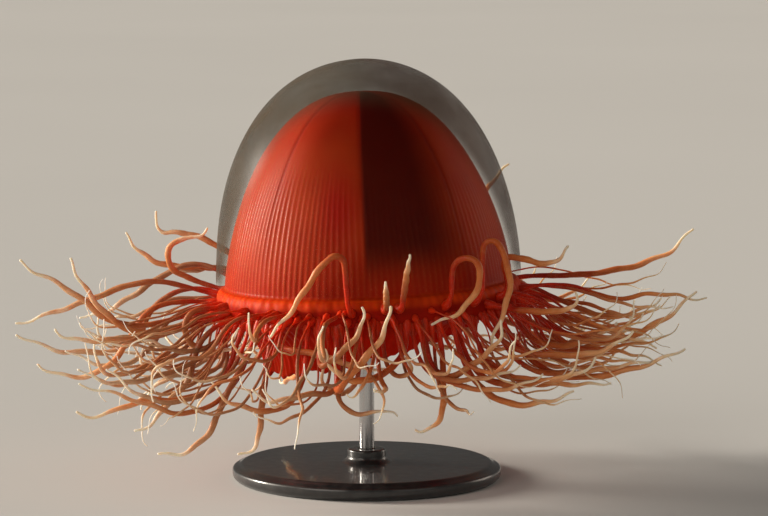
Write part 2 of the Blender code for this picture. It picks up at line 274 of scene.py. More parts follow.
lacquer, lacquer_tree = new_finish("base_lacquer", Coat_Weight=0.6, Coat_Roughness=0.08)
lacquer_specks = noise(lacquer_tree, on_object(lacquer_tree), 900.0, detail=4.0)
lacquer_bands = [(0.35, (0.012, 0.012, 0.013)), (0.75, (0.030, 0.029, 0.028))]
lacquer_tone = banded(lacquer_tree, lacquer_specks, lacquer_bands)
drive(lacquer_tree, Base_Color=lacquer_tone, Roughness=ranged(lacquer_tree, lacquer_specks, 0.28, 0.5))
base_profile = [
    (0, 0),
    (BASE_RADIUS - FOOT_CHAMFER, 0),
    (BASE_RADIUS, FOOT_CHAMFER),
    (BASE_RADIUS, BASE_THICKNESS - 0.55 * MM),
    (BASE_RADIUS - 0.75 * MM, BASE_THICKNESS - 0.3 * MM),
    (BASE_RADIUS - EDGE_BEVEL, BASE_THICKNESS),
    (COLLAR_RADIUS + COLLAR_FLARE, BASE_THICKNESS),
    (COLLAR_RADIUS, BASE_THICKNESS + 0.5 * MM),
    (COLLAR_RADIUS, COLLAR_HEIGHT),
    (ROD_RADIUS + ROD_FIT, COLLAR_HEIGHT),
    (ROD_RADIUS + ROD_FIT, COLLAR_HEIGHT - SOCKET_DEPTH),
    (0, COLLAR_HEIGHT - SOCKET_DEPTH),
]
base = skin_mesh("stand_base_turned", [(turned(rounded(base_profile, 0.3 * MM), 192), {})], lacquer)
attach(base, "root")
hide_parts("stand_base")

steel, steel_tree = new_finish("rod_steel", Metallic=1.0)
steel_stretch = {"Vector": on_object(steel_tree), "Scale": (5000.0, 5000.0, 60.0)}
steel_place = add_node(steel_tree, "ShaderNodeMapping", steel_stretch).outputs["Vector"]
steel_brush = noise(steel_tree, steel_place, 1.0, detail=3.0)
steel_tone = banded(steel_tree, steel_brush, [(0.0, (0.42, 0.42, 0.43)), (1.0, (0.68, 0.68, 0.68))])
drive(steel_tree, Base_Color=steel_tone, Roughness=ranged(steel_tree, steel_brush, 0.16, 0.36))
rod_profile = [(0, ROD_FOOT), (ROD_RADIUS, ROD_FOOT), (ROD_RADIUS, ROD_TOP), (0, ROD_TOP)]
rod = skin_mesh("stand_rod_turned", [(turned(rounded(rod_profile, 0.4 * MM), 48), {})], steel)
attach(rod, "root")
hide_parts("stand_rod")

# ---- The red bell
# One skin of red flesh: the lining of the bell with its fine pleats and radial canals, the thick
# margin below it, and the velum, the skirt that tapers to the bell's mouth. It grows as one piece.
LINING_RADIUS = 17.1 * MM
LINING_HEIGHT = 23.4 * MM
LINING_WALL = 0.7 * MM
LINING_FULLNESS = (0.84, 1.333)  # powers of cosine and sine in the dome's outline
LINING_FOOT = 1.25 * MM  # where the outer dome starts; the inner one starts a little higher
RING_RADIUS = 17.2 * MM
RING_HALF_WIDTH = 0.9 * MM
RING_HALF_HEIGHT = 1.6 * MM
RING_DROP = 0.8 * MM  # the ring's middle is this far below the plane of the margin
RING_TOP = RING_HALF_HEIGHT - RING_DROP
VELUM_TOP = -2.7 * MM
VELUM_TOP_RADIUS = 16.3 * MM
VELUM_MOUTH_RADIUS = 12.5 * MM
VELUM_DEPTH = 3.9 * MM
VELUM_SLANT = 2.5 * MM
VELUM_TAPER = 2.4
VELUM_HALF_WALL = 0.275 * MM
BELL_COLUMNS = 1152
PLEATS = 144
PLEAT_DEPTH = 0.07 * MM
CANALS = 8
FIRST_CANAL = math.radians(-1.0)  # from +X; one canal then faces the front
CANAL_HALF_WIDTH = 0.3 * MM
CANAL_DEPTH = 0.05 * MM
BANK_HALF_WIDTH = 0.9 * MM
BANK_LIFT = 0.03 * MM
LUMP_HEIGHT = 0.04 * MM
FOLD_DEPTH = 0.06 * MM
# Where the painted glow sits: a patch of purer red just left of the front canal, standing in for light
# shining through the lining there.
PAINTED_GLOW_AT = math.radians(258)
PAINTED_GLOW_HEIGHT = 10.5 * MM


def smooth(low, high, value):
    """0 below low, 1 above high, and an S curve between."""
    share = np.clip((value - low) / (high - low), 0, 1)
    return share * share * (3 - 2 * share)


def dome(radius, height, fullness, start, rings):
    """A dome's outline from its rim at height start to its top: radius cos^a against height sin^b."""
    low = math.asin((start / height) ** (1 / fullness[1]))
    turn = np.linspace(low, math.pi / 2, rings)
    outline = [radius * np.cos(turn) ** fullness[0], height * np.sin(turn) ** fullness[1]]
    outline[0][-1] = 0
    return np.stack(outline, 1)


def placed(points):
    """The animal's points where they stand: leant to the left about the middle of the margin."""
    lean = [[math.cos(LEAN), 0, -math.sin(LEAN)], [0, 1, 0], [math.sin(LEAN), 0, math.cos(LEAN)]]
    return points @ np.array(lean).T + MARGIN_CENTRE


def arc(middle, half_widths, start, end, steps):
    """Points of an ellipse between two angles in degrees."""
    turn = np.radians(np.linspace(start, end, steps))
    return np.stack([half_widths[0] * np.cos(turn), half_widths[1] * np.sin(turn)], 1) + middle


def velum_wall(side, rings):
    """One face of the velum from its top to its mouth; side is 1 outside and -1 inside."""
    share = np.linspace(0, 1, rings)
    taper = VELUM_TOP_RADIUS - VELUM_MOUTH_RADIUS
    radius = VELUM_MOUTH_RADIUS + taper * (1 - share) ** VELUM_TAPER + side * VELUM_HALF_WALL
    return np.stack([radius, VELUM_TOP - VELUM_DEPTH * share], 1)


def bell_outline():
    """(radius, height) rows of the red bell from the top of the inner face, down it, and up the outer
    face, with how far inside each row is: 1 on the inner face, 0.5 on the edge and 0 outside.

    The faces are two domes, joined below by part of an ellipse for the margin outside and by the two
    faces of the velum, which meet in a rounded edge.
    """
    inner_radius, inner_height = LINING_RADIUS - LINING_WALL, LINING_HEIGHT - LINING_WALL
    edge_middle = (VELUM_MOUTH_RADIUS, VELUM_TOP - VELUM_DEPTH)
    stretches = [
        (1.0, dome(inner_radius, inner_height, LINING_FULLNESS, LINING_FOOT + 0.05 * MM, 14)[::-1]),
        (1.0, velum_wall(-1, 8)),
        (0.5, arc(edge_middle, (VELUM_HALF_WALL, VELUM_HALF_WALL), 180, 360, 7)[1:-1]),
        (0.0, velum_wall(1, 14)[::-1]),
        (0.0, arc((RING_RADIUS, -RING_DROP), (RING_HALF_WIDTH, RING_HALF_HEIGHT), -100, 100, 12)),
        (0.0, dome(LINING_RADIUS, LINING_HEIGHT, LINING_FULLNESS, LINING_FOOT, 30)),
    ]
    inside = np.concatenate([np.full(len(rows), share) for share, rows in stretches])
    return np.concatenate([rows for _, rows in stretches]), inside[:, None]


def closed_rings(radius, height, azimuth):
    """Points about Z from arrays of radius and height, whose end rings are shrunk to a point each."""
    radius[0], radius[-1] = 0, 0
    height[0], height[-1] = height[0].mean(), height[-1].mean()
    return np.stack([radius * np.cos(azimuth), radius * np.sin(azimuth), height], -1)


def bell_skin():
    """The rings of the red bell: its outline turned about Z, with each point then moved.

    It moves square to the outline by a narrow trough with two banks at each canal, by a wavering sine
    of the azimuth for the pleats, which fade out upwards and to the right, and by sums of sines for
    the lumps of the margin and the folds of the velum. The velum hangs lower on the left, and its
    edge ripples.
    """
    outline, inside = bell_outline()
    radius, height = outline[:, :1], outline[:, 1:]
    way = np.gradient(outline, axis=0)
    way /= np.linalg.norm(way, axis=1, keepdims=True)
    out_radius, out_height = way[:, 1:], -way[:, :1]

    azimuth = once_round(BELL_COLUMNS)
    dome_part = smooth(RING_TOP, 2.4 * MM, height)
    ring_part = 1 - smooth(0.6, 1.25, np.abs(height + RING_DROP) / RING_HALF_HEIGHT)
    skirt_part = smooth(2.0 * MM, 3.4 * MM, -height)
    hang = np.clip((VELUM_TOP - height) / VELUM_DEPTH, 0, 1.05)

    to_canal = (azimuth - FIRST_CANAL + math.pi / CANALS) % (math.tau / CANALS) - math.pi / CANALS
    canal_off = np.abs(to_canal) * radius
    canal = np.exp(-((canal_off / CANAL_HALF_WIDTH) ** 2)) * dome_part
    canal = canal * (0.25 + 0.75 * smooth(6 * MM, 15 * MM, height))
    banks = np.exp(-((canal_off / BANK_HALF_WIDTH) ** 2)) * dome_part
    lift = BANK_LIFT * banks - CANAL_DEPTH * canal
    swell = 0.03 * np.sin(5 * azimuth + 300 * height) + 0.02 * np.sin(13 * azimuth - 500 * height)
    lift = lift + MM * dome_part * swell * (1 - smooth(0.8, 1.0, height / LINING_HEIGHT))
    pleated = smooth(0.8 * MM, 1.4 * MM, height) * (1 - smooth(8 * MM, 17 * MM, height)) * (1 - inside)
    # Stronger on the left, where the key light falls: the pleats are deeper there, and through the pleat mark
    # so is the painted sheen in the flesh's colour.
    pleated = pleated * (0.4 + 0.6 * smooth(-0.3, 0.8, -np.cos(azimuth)))
    pleated = pleated * (0.75 + 0.25 * np.sin(19 * azimuth + 2) * np.cos(31 * azimuth + 350 * height))
    waver = 1.3 * np.sin(5 * azimuth + 120 * height) + 0.8 * np.sin(12 * azimuth - 190 * height)
    ridge = smooth(-0.7, 1.0, np.sin(PLEATS * azimuth + waver))
    lift = lift - PLEAT_DEPTH * pleated * (1 - ridge)

    lumps = np.sin(67 * azimuth + 2 * np.sin(5 * azimuth)) * np.cos(2 * height / RING_HALF_HEIGHT)
    lumps = lumps + 0.6 * np.sin(103 * azimuth + 1.3 + 2500 * height)
    lift = lift + LUMP_HEIGHT * ring_part * lumps * (1 - inside)
    folds = np.cos(96 * azimuth + 1.5 * np.sin(3 * azimuth)) + 0.8 * np.sin(41 * azimuth + 1.1)
    lift = lift + FOLD_DEPTH * skirt_part * folds * (1 - 2 * inside)

    radius = radius + lift * out_radius
    height = height + lift * out_height
    ripple = 0.22 * np.sin(23 * azimuth + 0.7) + 0.16 * np.sin(11 * azimuth) + 0.1 * np.sin(57 * azimuth)
    height = height + hang * VELUM_SLANT * radius * np.cos(azimuth) / VELUM_MOUTH_RADIUS
    height = height + MM * hang**3 * ripple
    radius = radius + MM * hang**2 * (0.35 * np.sin(9 * azimuth + 2.0) + 0.2 * np.sin(17 * azimuth))
    points = closed_rings(radius, height, azimuth)

    # A brighter orange band along the top of the ring, lumpy with the bulbs of the tentacles: partly the
    # margin's own orange, partly a painted highlight along its top.
    margin_tone_and_highlight = smooth(-0.5 * MM, 0.1 * MM, height) * (1 - smooth(0.6 * MM, 1.0 * MM, height))
    margin_lumps = 0.18 * np.sin(112 * azimuth + 3 * np.sin(7 * azimuth)) + 0.1 * np.sin(31 * azimuth)
    # Painted shade: a dark sector from the front canal round to the front right, sharp at the canal and
    # fading beyond it, standing in for the shade on the bell's right half.
    past_canal = (azimuth - FIRST_CANAL) % math.tau - 0.75 * math.tau
    painted_shade = smooth(-0.01, 0.03, past_canal) * (1 - smooth(0.45, 1.0, past_canal))
    # Painted glow: a patch of purer red left of the front canal, for light shining through the lining there.
    painted_glow = ((azimuth - PAINTED_GLOW_AT) / 0.16) ** 2 + ((height - PAINTED_GLOW_HEIGHT) / (4 * MM)) ** 2
    marks = {
        "painted_shade": painted_shade * smooth(1 * MM, 7 * MM, height),
        "height": height / LINING_HEIGHT,
        "pleat": pleated * ridge,
        "canal": canal,
        "painted_glow": np.exp(-painted_glow),
        "margin_tone_and_highlight": margin_tone_and_highlight * (0.72 + margin_lumps) * (1 - inside),
        "inside": inside,
    }
    return placed(points), marks


# Soft tissue in any piece of the animal: clouds of pigment, a fine grain, and specks.
tissue = bpy.data.node_groups.new("soft_tissue", "ShaderNodeTree")
for socket in ("Cloud Scale", "Grain Scale"):
    tissue.interface.new_socket(socket, in_out="INPUT", socket_type="NodeSocketFloat")
for socket in ("Cloud", "Grain", "Specks"):
    tissue.interface.new_socket(socket, in_out="OUTPUT", socket_type="NodeSocketFloat")
tissue_scales = add_node(tissue, "NodeGroupInput").outputs
tissue_place = on_object(tissue)
tissue_cloud = noise(tissue, tissue_place, tissue_scales["Cloud Scale"], detail=3.0, roughness=0.55)
tissue_grain = noise(tissue, tissue_place, tissue_scales["Grain Scale"], detail=2.0, roughness=0.6)
tissue_cells = add_node(
    tissue, "ShaderNodeTexVoronoi", {"Vector": tissue_place, "Scale": tissue_scales["Grain Scale"]}
)
tissue_specks = ranged(tissue, tissue_cells.outputs["Distance"], 0.0, 1.0, start=0.32, end=0.12)
tissue_spread = ranged(tissue, tissue_cloud, 0.0, 1.0, start=0.3, end=0.7)
tissue_gives = {"Cloud": tissue_spread, "Grain": tissue_grain, "Specks": tissue_specks}
add_node(tissue, "NodeGroupOutput", tissue_gives)


def marked(tree, name):
    """The value of one of a piece's own attributes."""
    return add_node(tree, "ShaderNodeAttribute", attribute_name=name).outputs["Fac"]


def mixed(tree, factor, first, second):
    """A mix of two colours. Its inputs go by number, since the node has one A for each type of data."""
    colours = [row if isinstance(row, bpy.types.NodeSocket) else (*row, 1) for row in (first, second)]
    feeds = {0: factor, 6: colours[0], 7: colours[1]}
    return add_node(tree, "ShaderNodeMix", feeds, data_type="RGBA").outputs[2]


def reckoned(tree, operation, first, second):
    """A sum, product or other result of two numbers."""
    return add_node(tree, "ShaderNodeMath", {0: first, 1: second}, operation=operation).outputs[0]


def tinged(tree, colour, mask, strength, towards):
    """A colour mixed towards another by a mask times a strength."""
    return mixed(tree, reckoned(tree, "MULTIPLY", mask, strength), colour, towards)


def tissue_of(tree, cloud_scale, grain_scale):
    """The soft tissue group, placed in a material with its own scales."""
    scales = {"Cloud Scale": cloud_scale, "Grain Scale": grain_scale}
    return add_node(tree, "ShaderNodeGroup", scales, node_tree=tissue).outputs


def bumped(tree, height, depth):
    """Bumps of that depth in metres."""
    bump = add_node(tree, "ShaderNodeBump", {"Height": height, "Distance": depth})
    drive(tree, Normal=bump.outputs["Normal"])


flesh, flesh_tree = new_finish(
    "bell_flesh",
    Specular_IOR_Level=0.05,
    Subsurface_Weight=0.5,
    Subsurface_Radius=(1.0, 0.08, 0.03),
    Subsurface_Scale=1.2 * MM,
    Coat_Roughness=0.26,
)
flesh_tissue = tissue_of(flesh_tree, 170.0, 4200.0)
# from the edge of the velum up to the top of the lining
flesh_level = ranged(flesh_tree, marked(flesh_tree, "height"), 0.0, 1.0, start=-0.42, end=1.0)
flesh_bands = [
    # The velum's bands are its own red raised further, a painted glow of light through its thin wall.
    (0.0, (0.72, 0.030, 0.002)),
    (0.16, (0.72, 0.016, 0.001)),
    (0.27, (0.34, 0.007, 0.001)),
    (0.31, (0.42, 0.014, 0.001)),
    (0.5, (0.44, 0.036, 0.004)),
    (0.8, (0.40, 0.036, 0.005)),
    (0.97, (0.32, 0.012, 0.002)),
]
flesh_colour = banded(flesh_tree, flesh_level, flesh_bands)
# The pleat ridges with specks drive a glossier coat and a painted sheen in the colour.
flesh_ridge_sheen = reckoned(flesh_tree, "ADD", flesh_tissue["Specks"], 0.35)
flesh_ridge_sheen = reckoned(flesh_tree, "MULTIPLY", marked(flesh_tree, "pleat"), flesh_ridge_sheen)
for mask, strength, towards in (
    (flesh_tissue["Cloud"], 0.5, (0.30, 0.008, 0.001)),
    # painted sheen: the pleat ridges and specks lighter and more orange, strongest on the left
    (flesh_ridge_sheen, 0.55, (0.78, 0.19, 0.060)),
    # painted glow of light through the lining, left of the front canal
    (marked(flesh_tree, "painted_glow"), 0.8, (0.44, 0.003, 0.0005)),
    (marked(flesh_tree, "canal"), 0.4, (0.16, 0.001, 0.0005)),
    # painted shade on the sector right of the front canal
    (marked(flesh_tree, "painted_shade"), 0.9, (0.05, 0.001, 0.0005)),
    # the margin's own orange and a painted highlight along the ring's top
    (marked(flesh_tree, "margin_tone_and_highlight"), 0.9, (0.72, 0.060, 0.004)),
    (marked(flesh_tree, "inside"), 0.6, (0.16, 0.002, 0.0005)),
):
    flesh_colour = tinged(flesh_tree, flesh_colour, mask, strength, towards)
drive(
    flesh_tree,
    Base_Color=flesh_colour,
    Coat_Weight=reckoned(flesh_tree, "MULTIPLY", flesh_ridge_sheen, 0.3),
    Roughness=ranged(flesh_tree, flesh_ridge_sheen, 0.50, 0.26),
)
bumped(flesh_tree, flesh_tissue["Grain"], 0.015 * MM)

bell = skin_mesh("bell_red_skin", [bell_skin()], flesh)
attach(bell, "root")
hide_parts("bell_lining", "margin_ring", "velum")

# ---- The stomach tube
# The manubrium: a four-cornered tube of dark red flesh that hangs from the top of the bell and ends
# in frilled lips. The lips close over the end of the stand's rod, which carries the animal.
MANUBRIUM_RADIUS = 1.7 * MM


def manubrium_skin():
    """Rings from the lips up to the root: a swelling outline whose radius has four lobes, and near
    the lips a frill of sixteen folds that widens downwards."""
    top = LINING_HEIGHT - LINING_WALL - 0.1 * MM
    lips = MOUTH_HEIGHT
    rows = [
        (0.00, lips + 1.3 * MM),
        (0.45, lips + 0.9 * MM),
        (0.95, lips + 0.1 * MM),
        (1.32, lips - 0.25 * MM),
        (1.62, lips - 0.1 * MM),
        (1.50, lips + 0.5 * MM),
        (1.10, lips + 1.4 * MM),
        (0.90, 0.40 * top),
        (1.10, 0.52 * top),
        (1.28, 0.62 * top),
        (1.20, 0.72 * top),
        (1.10, 0.84 * top),
        (1.45, 0.93 * top),
        (1.80, 0.975 * top),
        (2.00, top),
        (0.00, top),
    ]
    outline = rounded(np.array(rows) * [MANUBRIUM_RADIUS, 1.0], 0.8 * MM, 4)
    azimuth = once_round(160)
    radius, height = outline[:, :1], outline[:, 1:]
    frill = 1 - smooth(lips, lips + 2.4 * MM, height)
    lobes = 0.13 * np.cos(4 * azimuth + 200 * height) * (1 - smooth(0.8 * top, top, height))
    frills = frill * (0.16 * np.cos(16 * azimuth) + 0.08 * np.cos(7 * azimuth + 1.0))
    radius = radius * (1 + lobes + frills)
    height = height + 0.3 * MM * frill * np.sin(16 * azimuth + 0.9) * (radius > 0.5 * MM)
    return placed(closed_rings(radius, height, azimuth)), {"frill": frill}


stomach, stomach_tree = new_finish(
    "stomach_flesh",
    Subsurface_Weight=0.3,
    Subsurface_Radius=(1.0, 0.22, 0.10),
    Subsurface_Scale=0.6 * MM,
    Coat_Weight=0.15,
    Coat_Roughness=0.2,
)
stomach_tissue = tissue_of(stomach_tree, 500.0, 4500.0)
stomach_colour = mixed(stomach_tree, stomach_tissue["Cloud"], (0.30, 0.010, 0.003), (0.46, 0.030, 0.008))
stomach_frill = marked(stomach_tree, "frill")
stomach_colour = tinged(stomach_tree, stomach_colour, stomach_frill, 0.7, (0.80, 0.22, 0.10))
stomach_matt = ranged(stomach_tree, stomach_tissue["Specks"], 0.45, 0.3)
drive(stomach_tree, Base_Color=stomach_colour, Roughness=stomach_matt)
bumped(stomach_tree, stomach_tissue["Grain"], 0.04 * MM)
manubrium = skin_mesh("stomach_tube", [manubrium_skin()], stomach)
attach(manubrium, "root")
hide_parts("manubrium")

# ---- The gonads
# Eight sausages of eggs, one under each radial canal, that hang by thin necks from the top of the
# bell round the stomach tube. They're paler than the flesh about them, and lumpy with eggs.
GONADS = 8
GONAD_RADIUS = 1.15 * MM
GONAD_LENGTH = 8.0 * MM
GONAD_CIRCLE = 5.6 * MM
GONAD_TOP = 20.6 * MM
GONAD_NECK_RADIUS = 0.32 * MM
GONAD_NECK_LENGTH = 1.35 * MM


def gonad_skin(place):
    """Rings from the bottom to the neck: a sausage on a gentle bow, with rows of lumps like a berry.

    Its radius is an ellipse's until it narrows to the neck, times one plus two crossed sine waves.
    """
    share = np.concatenate([[0], np.linspace(0.0, 1, 42)[1:-1] ** 1.1, [1]])[:, None]
    around = once_round(40)
    body = GONAD_RADIUS * np.sin(math.pi * np.clip(share / 0.92, 0, 1)) ** 0.62
    radius = np.where(share > 0.5, np.maximum(body, GONAD_NECK_RADIUS), body)
    lumps = np.sin(9 * around + 3 * place) * np.sin(17 * math.tau * share / 2 + place)
    radius = radius * (1 + 0.07 * lumps * np.sin(math.pi * share))
    radius[0], radius[-1] = 0, 0
    height = GONAD_TOP - GONAD_LENGTH + (GONAD_LENGTH + GONAD_NECK_LENGTH) * share
    azimuth = math.tau * place / GONADS + FIRST_CANAL
    reach = GONAD_CIRCLE + 0.5 * MM * np.sin(math.pi * share) * math.sin(2.3 * place + 1)
    x = reach * math.cos(azimuth) + radius * np.cos(around)
    y = reach * math.sin(azimuth) + radius * np.sin(around)
    return placed(np.stack([x, y, height + 0 * around], -1)), {}


eggs, eggs_tree = new_finish(
    "gonad_flesh",
    Subsurface_Weight=0.35,
    Subsurface_Radius=(1.0, 0.3, 0.15),
    Subsurface_Scale=0.6 * MM,
    Coat_Weight=0.3,
    Coat_Roughness=0.2,
)
eggs_tissue = tissue_of(eggs_tree, 700.0, 2600.0)
eggs_colour = mixed(eggs_tree, eggs_tissue["Cloud"], (0.50, 0.045, 0.018), (0.72, 0.16, 0.07))
eggs_colour = tinged(eggs_tree, eggs_colour, eggs_tissue["Specks"], 0.5, (0.85, 0.36, 0.20))
drive(eggs_tree, Base_Color=eggs_colour, Roughness=ranged(eggs_tree, eggs_tissue["Cloud"], 0.34, 0.5))
bumped(eggs_tree, eggs_tissue["Specks"], 0.05 * MM)
gonads = skin_mesh("gonads_hanging", [gonad_skin(place) for place in range(GONADS)], eggs)
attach(gonads, "root")
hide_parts(*(f"gonad_{place + 1}" for place in range(GONADS)))

# ---- The clear jelly
# The bell's clear, firm jelly, thick over the top and thin at the rim, which covers the red lining
# like a cap of glass. It's faintly olive, browner on the right, and a little denser towards its edge.
BELL_RADIUS = 18.1 * MM
BELL_HEIGHT = 27.2 * MM
JELLY_FULLNESS = (0.92, 0.909)
JELLY_CLEARANCE = 0.12 * MM
RIM_ROUND = 0.3 * MM


def jelly_skin():
    """The rings of the jelly's two faces: down the inner dome, round the rim, and up the outer one.

    The outer dome is dented and swollen a little by slow sines of the azimuth and the height.
    """
    rim = RING_TOP + JELLY_CLEARANCE
    inner_radius, inner_height = LINING_RADIUS + JELLY_CLEARANCE, LINING_HEIGHT + JELLY_CLEARANCE
    inner = dome(inner_radius, inner_height, LINING_FULLNESS, rim + 0.2 * MM, 44)
    outer = dome(BELL_RADIUS, BELL_HEIGHT, JELLY_FULLNESS, rim + 0.35 * MM, 64)
    lip_middle = ((inner[0, 0] + outer[0, 0]) / 2, rim + RIM_ROUND)
    lip = arc(lip_middle, ((outer[0, 0] - inner[0, 0]) / 2, RIM_ROUND), 180, 360, 9)[1:-1]
    outline = np.concatenate([inner[::-1], lip, outer])
    azimuth = once_round(256)
    radius, height = outline[:, :1], outline[:, 1:]
    outward = np.concatenate([np.zeros(len(inner)), np.linspace(0, 1, len(lip)), np.ones(len(outer))])
    outward = outward[:, None]
    swell = 0.13 * np.sin(3 * azimuth + 1.2 + 90 * height) + 0.09 * np.sin(5 * azimuth - 160 * height)
    radius = radius * (1 + 0.06 * outward * smooth(0, 6 * MM, height) * swell)
    top = smooth(0.8, 1.0, height / BELL_HEIGHT) * outward
    height = height - 0.25 * MM * top * np.cos(2 * azimuth + 0.6) * (radius / BELL_RADIUS)
    points = closed_rings(radius, height, azimuth)
    marks = {
        "thick": height / (50 * MM),
        "veil": outward * smooth(1.0 * MM, 2.0 * MM, height),
        "amber": smooth(-0.2, 0.8, np.cos(azimuth)),
    }
    return placed(points), marks


jelly, jelly_tree = new_finish(
    "clear_jelly", Coat_Weight=0.03, Coat_Roughness=0.25, IOR=1.36, Specular_IOR_Level=0.12
)
jelly_tissue = tissue_of(jelly_tree, 160.0, 3600.0)
jelly_colour = mixed(jelly_tree, jelly_tissue["Cloud"], (0.050, 0.048, 0.032), (0.080, 0.058, 0.034))
jelly_colour = tinged(jelly_tree, jelly_colour, jelly_tissue["Specks"], 0.3, (0.16, 0.14, 0.10))
jelly_colour = tinged(jelly_tree, jelly_colour, marked(jelly_tree, "amber"), 0.8, (0.075, 0.026, 0.005))
# It shows where the eye passes through much of it: near its outline, and more so the higher up.
jelly_edge = add_node(jelly_tree, "ShaderNodeLayerWeight", {"Blend": 0.5}).outputs["Facing"]
jelly_depth = reckoned(jelly_tree, "ADD", jelly_edge, marked(jelly_tree, "thick"))
jelly_veil = ranged(
    jelly_tree, jelly_depth, 0.0, 0.66, start=0.62, end=0.84, interpolation_type="SMOOTHSTEP"
)
jelly_veil = reckoned(jelly_tree, "MULTIPLY", jelly_veil, marked(jelly_tree, "veil"))
jelly_milk = ranged(jelly_tree, jelly_tissue["Cloud"], 0.85, 1.15)
jelly_veil = reckoned(jelly_tree, "MULTIPLY", jelly_veil, jelly_milk)
drive(
    jelly_tree,
    Base_Color=jelly_colour,
    Roughness=ranged(jelly_tree, jelly_tissue["Grain"], 0.3, 0.42),
    Alpha=reckoned(jelly_tree, "ADD", jelly_veil, 0.015),
)
bumped(jelly_tree, jelly_tissue["Grain"], 0.015 * MM)
cap = skin_mesh("bell_clear_cap", [jelly_skin()], jelly)
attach(cap, "root")
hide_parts("bell_jelly")

# ---- The tentacles
# Soft round tentacles in several rows round the margin, each with a gesture of its own: red at the
# root, tan along the middle and cream at the tip. They grow out of the margin, each from a bulb.
Tentacle = namedtuple("Tentacle", "azimuth tier pitches headings length wave", defaults=(4.0,))
GAP = 0.3 * MM
TENTACLES = 40  # the stout ones; the same ones are solids in the CAD model
SLENDER_TENTACLES = 180
TENTACLE_RADIUS = 0.38 * MM
SLENDER_RADIUS = 0.11 * MM  # the least; by chance it is up to the next value more
SLENDER_EXTRA_RADIUS = 0.2 * MM
BULB_SWELL = 0.28 * MM
BULB_REACH = 0.7 * MM
ROOT_DEPTH = 1.0 * MM
TENTACLE_STEPS = 72
TENTACLE_SIDES = 10
SHARES = np.linspace(0, 1, TENTACLE_STEPS + 1)  # of the way from root to tip
STOUT_TIERS = (-4, -34, -66)  # degrees round the ring's section, up from level
SLENDER_TIERS = (4, -20, -46, -32, -72, -8, -58)
KINK = 18.0  # degrees, at the tip
LOWEST_TIP = 5.0 * MM  # above the floor
LOWEST_SLENDER = -12.5 * MM  # from the margin; on the left they may hang lower by the next value
LEFT_HANG = 6.0 * MM
BELL_CLEARANCE = 0.8 * MM
SLENDER_GAP = 0.12 * MM
SLENDER_TRIES = 400  # then the last one drawn stays
WARM_FROM = 0.25 * MM  # tentacles are more orange from this radius up
SECTORS = 8
# azimuth, tier, pitches and headings from root to tip in degrees, length in mm
LEFT_TENTACLES = (
    (171, 12, (18, 14, -8, -20, -20, -8), (176, 180, 180), 25.4),
    (186, -20, (-8, -12, 6, 43, 34, 33), (186, 182, 178), 25.6),
    (192, -24, (-14, -24, 4, 50, 56, 64), (190, 184, 180), 22),
    (146, 34, (32, 10, 6, 6, 38, 70), (146, 170, 178), 17.4),
    (132, 30, (34, 24, 26, 20, 2, 112), (135, 165, 172), 18.8),
    (159, 16, (12, 17, 26, 105, 178, 135), (162, 176, 180), 15.5),
    (153, 44, (36, 14, -24, -38, -26, 8), (155, 166, 172), 22.6),
    (165, 4, (30, -18, -72, 0, 14, 30), (168, 178, 184), 29),
    (182, 0, (8, -6, -55, -46, -2, 42), (182, 184, 180), 25.2),
    (199, -50, (2, -10, -8, -2, 6, 42), (203, 194, 186), 20.8),
    (215, -60, (-65, -65, -15, 15, -26, 18), (214, 202, 188), 25.2),
    (207, -40, (-10, -45, -75, -42, -55, -5), (206, 196, 184), 18),
    (231, -75, (-66, -74, -80, -84, -70, 5), (229, 212, 190), 16),
    (224, -60, (-62, -58, -56, -58, -30, 14), (224, 205, 190), 20.3),
    (203, 6, (-3, 0, -80, -152, -180, -200), (207, 190, 188), 14.4),
)
FRONT_TENTACLES = (
    (264, 6, (10, 85, 92, 80, -45, -52, -52, -50, -46, -48), (264, 210, 184, 180, 180), 20),
    (276, 14, (-20, 95, 90), (277, 277, 277), 4.4),
    (281, 14, (-10, 84, 78, 76, 80, 84), (286, 350, 360), 7),
    (252, -40, (-60, -70, -40, 25, 42, 48, 65, 95), (262, 270, 330, 360, 350), 15),
    (299, 14, (30, 88, 76, 5, -80, -120, -140, -155, -170), (300, 340, 350, 360, 360), 18.2),
    (312, 14, (30, 88, 90, 84, -60, -80, -90, -105, -112, -110, -112), (318, 340, 360, 370, 370), 22),
    (291, -70, (-80, -78, -40, 32, 38, 42, 95), (285, 320, 350, 360), 17),
    (297, -85, (-75, -85, -88, -95, -130, -190), (300, 330, 350), 14.5),
)
RIGHT_TENTACLES = (
    (27, 4, (6, -2, -3, 10, 28, 48), (18, 4, 0), 25),
    (345, -30, (-42, -37, -12, 22, 26, 50), (350, 362, 364), 24),
    (326, -50, (-65, -50, -15, 4, 18, 32), (335, 352, 360), 25.6),
    (318, -62, (-60, -35, -8, 2, 18, 40), (330, 350, 360), 19.8),
    (335, -24, (-80, -60, -14, 8, 16, 46), (340, 355, 370), 15.6),
    (305, -76, (-78, -60, -18, 6, 14, 50), (310, 345, 360), 21.3),
    (319, -6, (-10, -12, -8, 2, 10, 100), (330, 360, 370), 11.8),
    (302, -50, (-78, -66, -42, -20, 10, 25), (300, 340, 360), 20),
    (326, 14, (20, 92, 110, -10, -22, -6, 40, 52), (326, 345, 370, 370), 13.2),
    (60, 16, (28, 48, 50, 48, 44, 36), (60, 45, 20), 17.5),
)
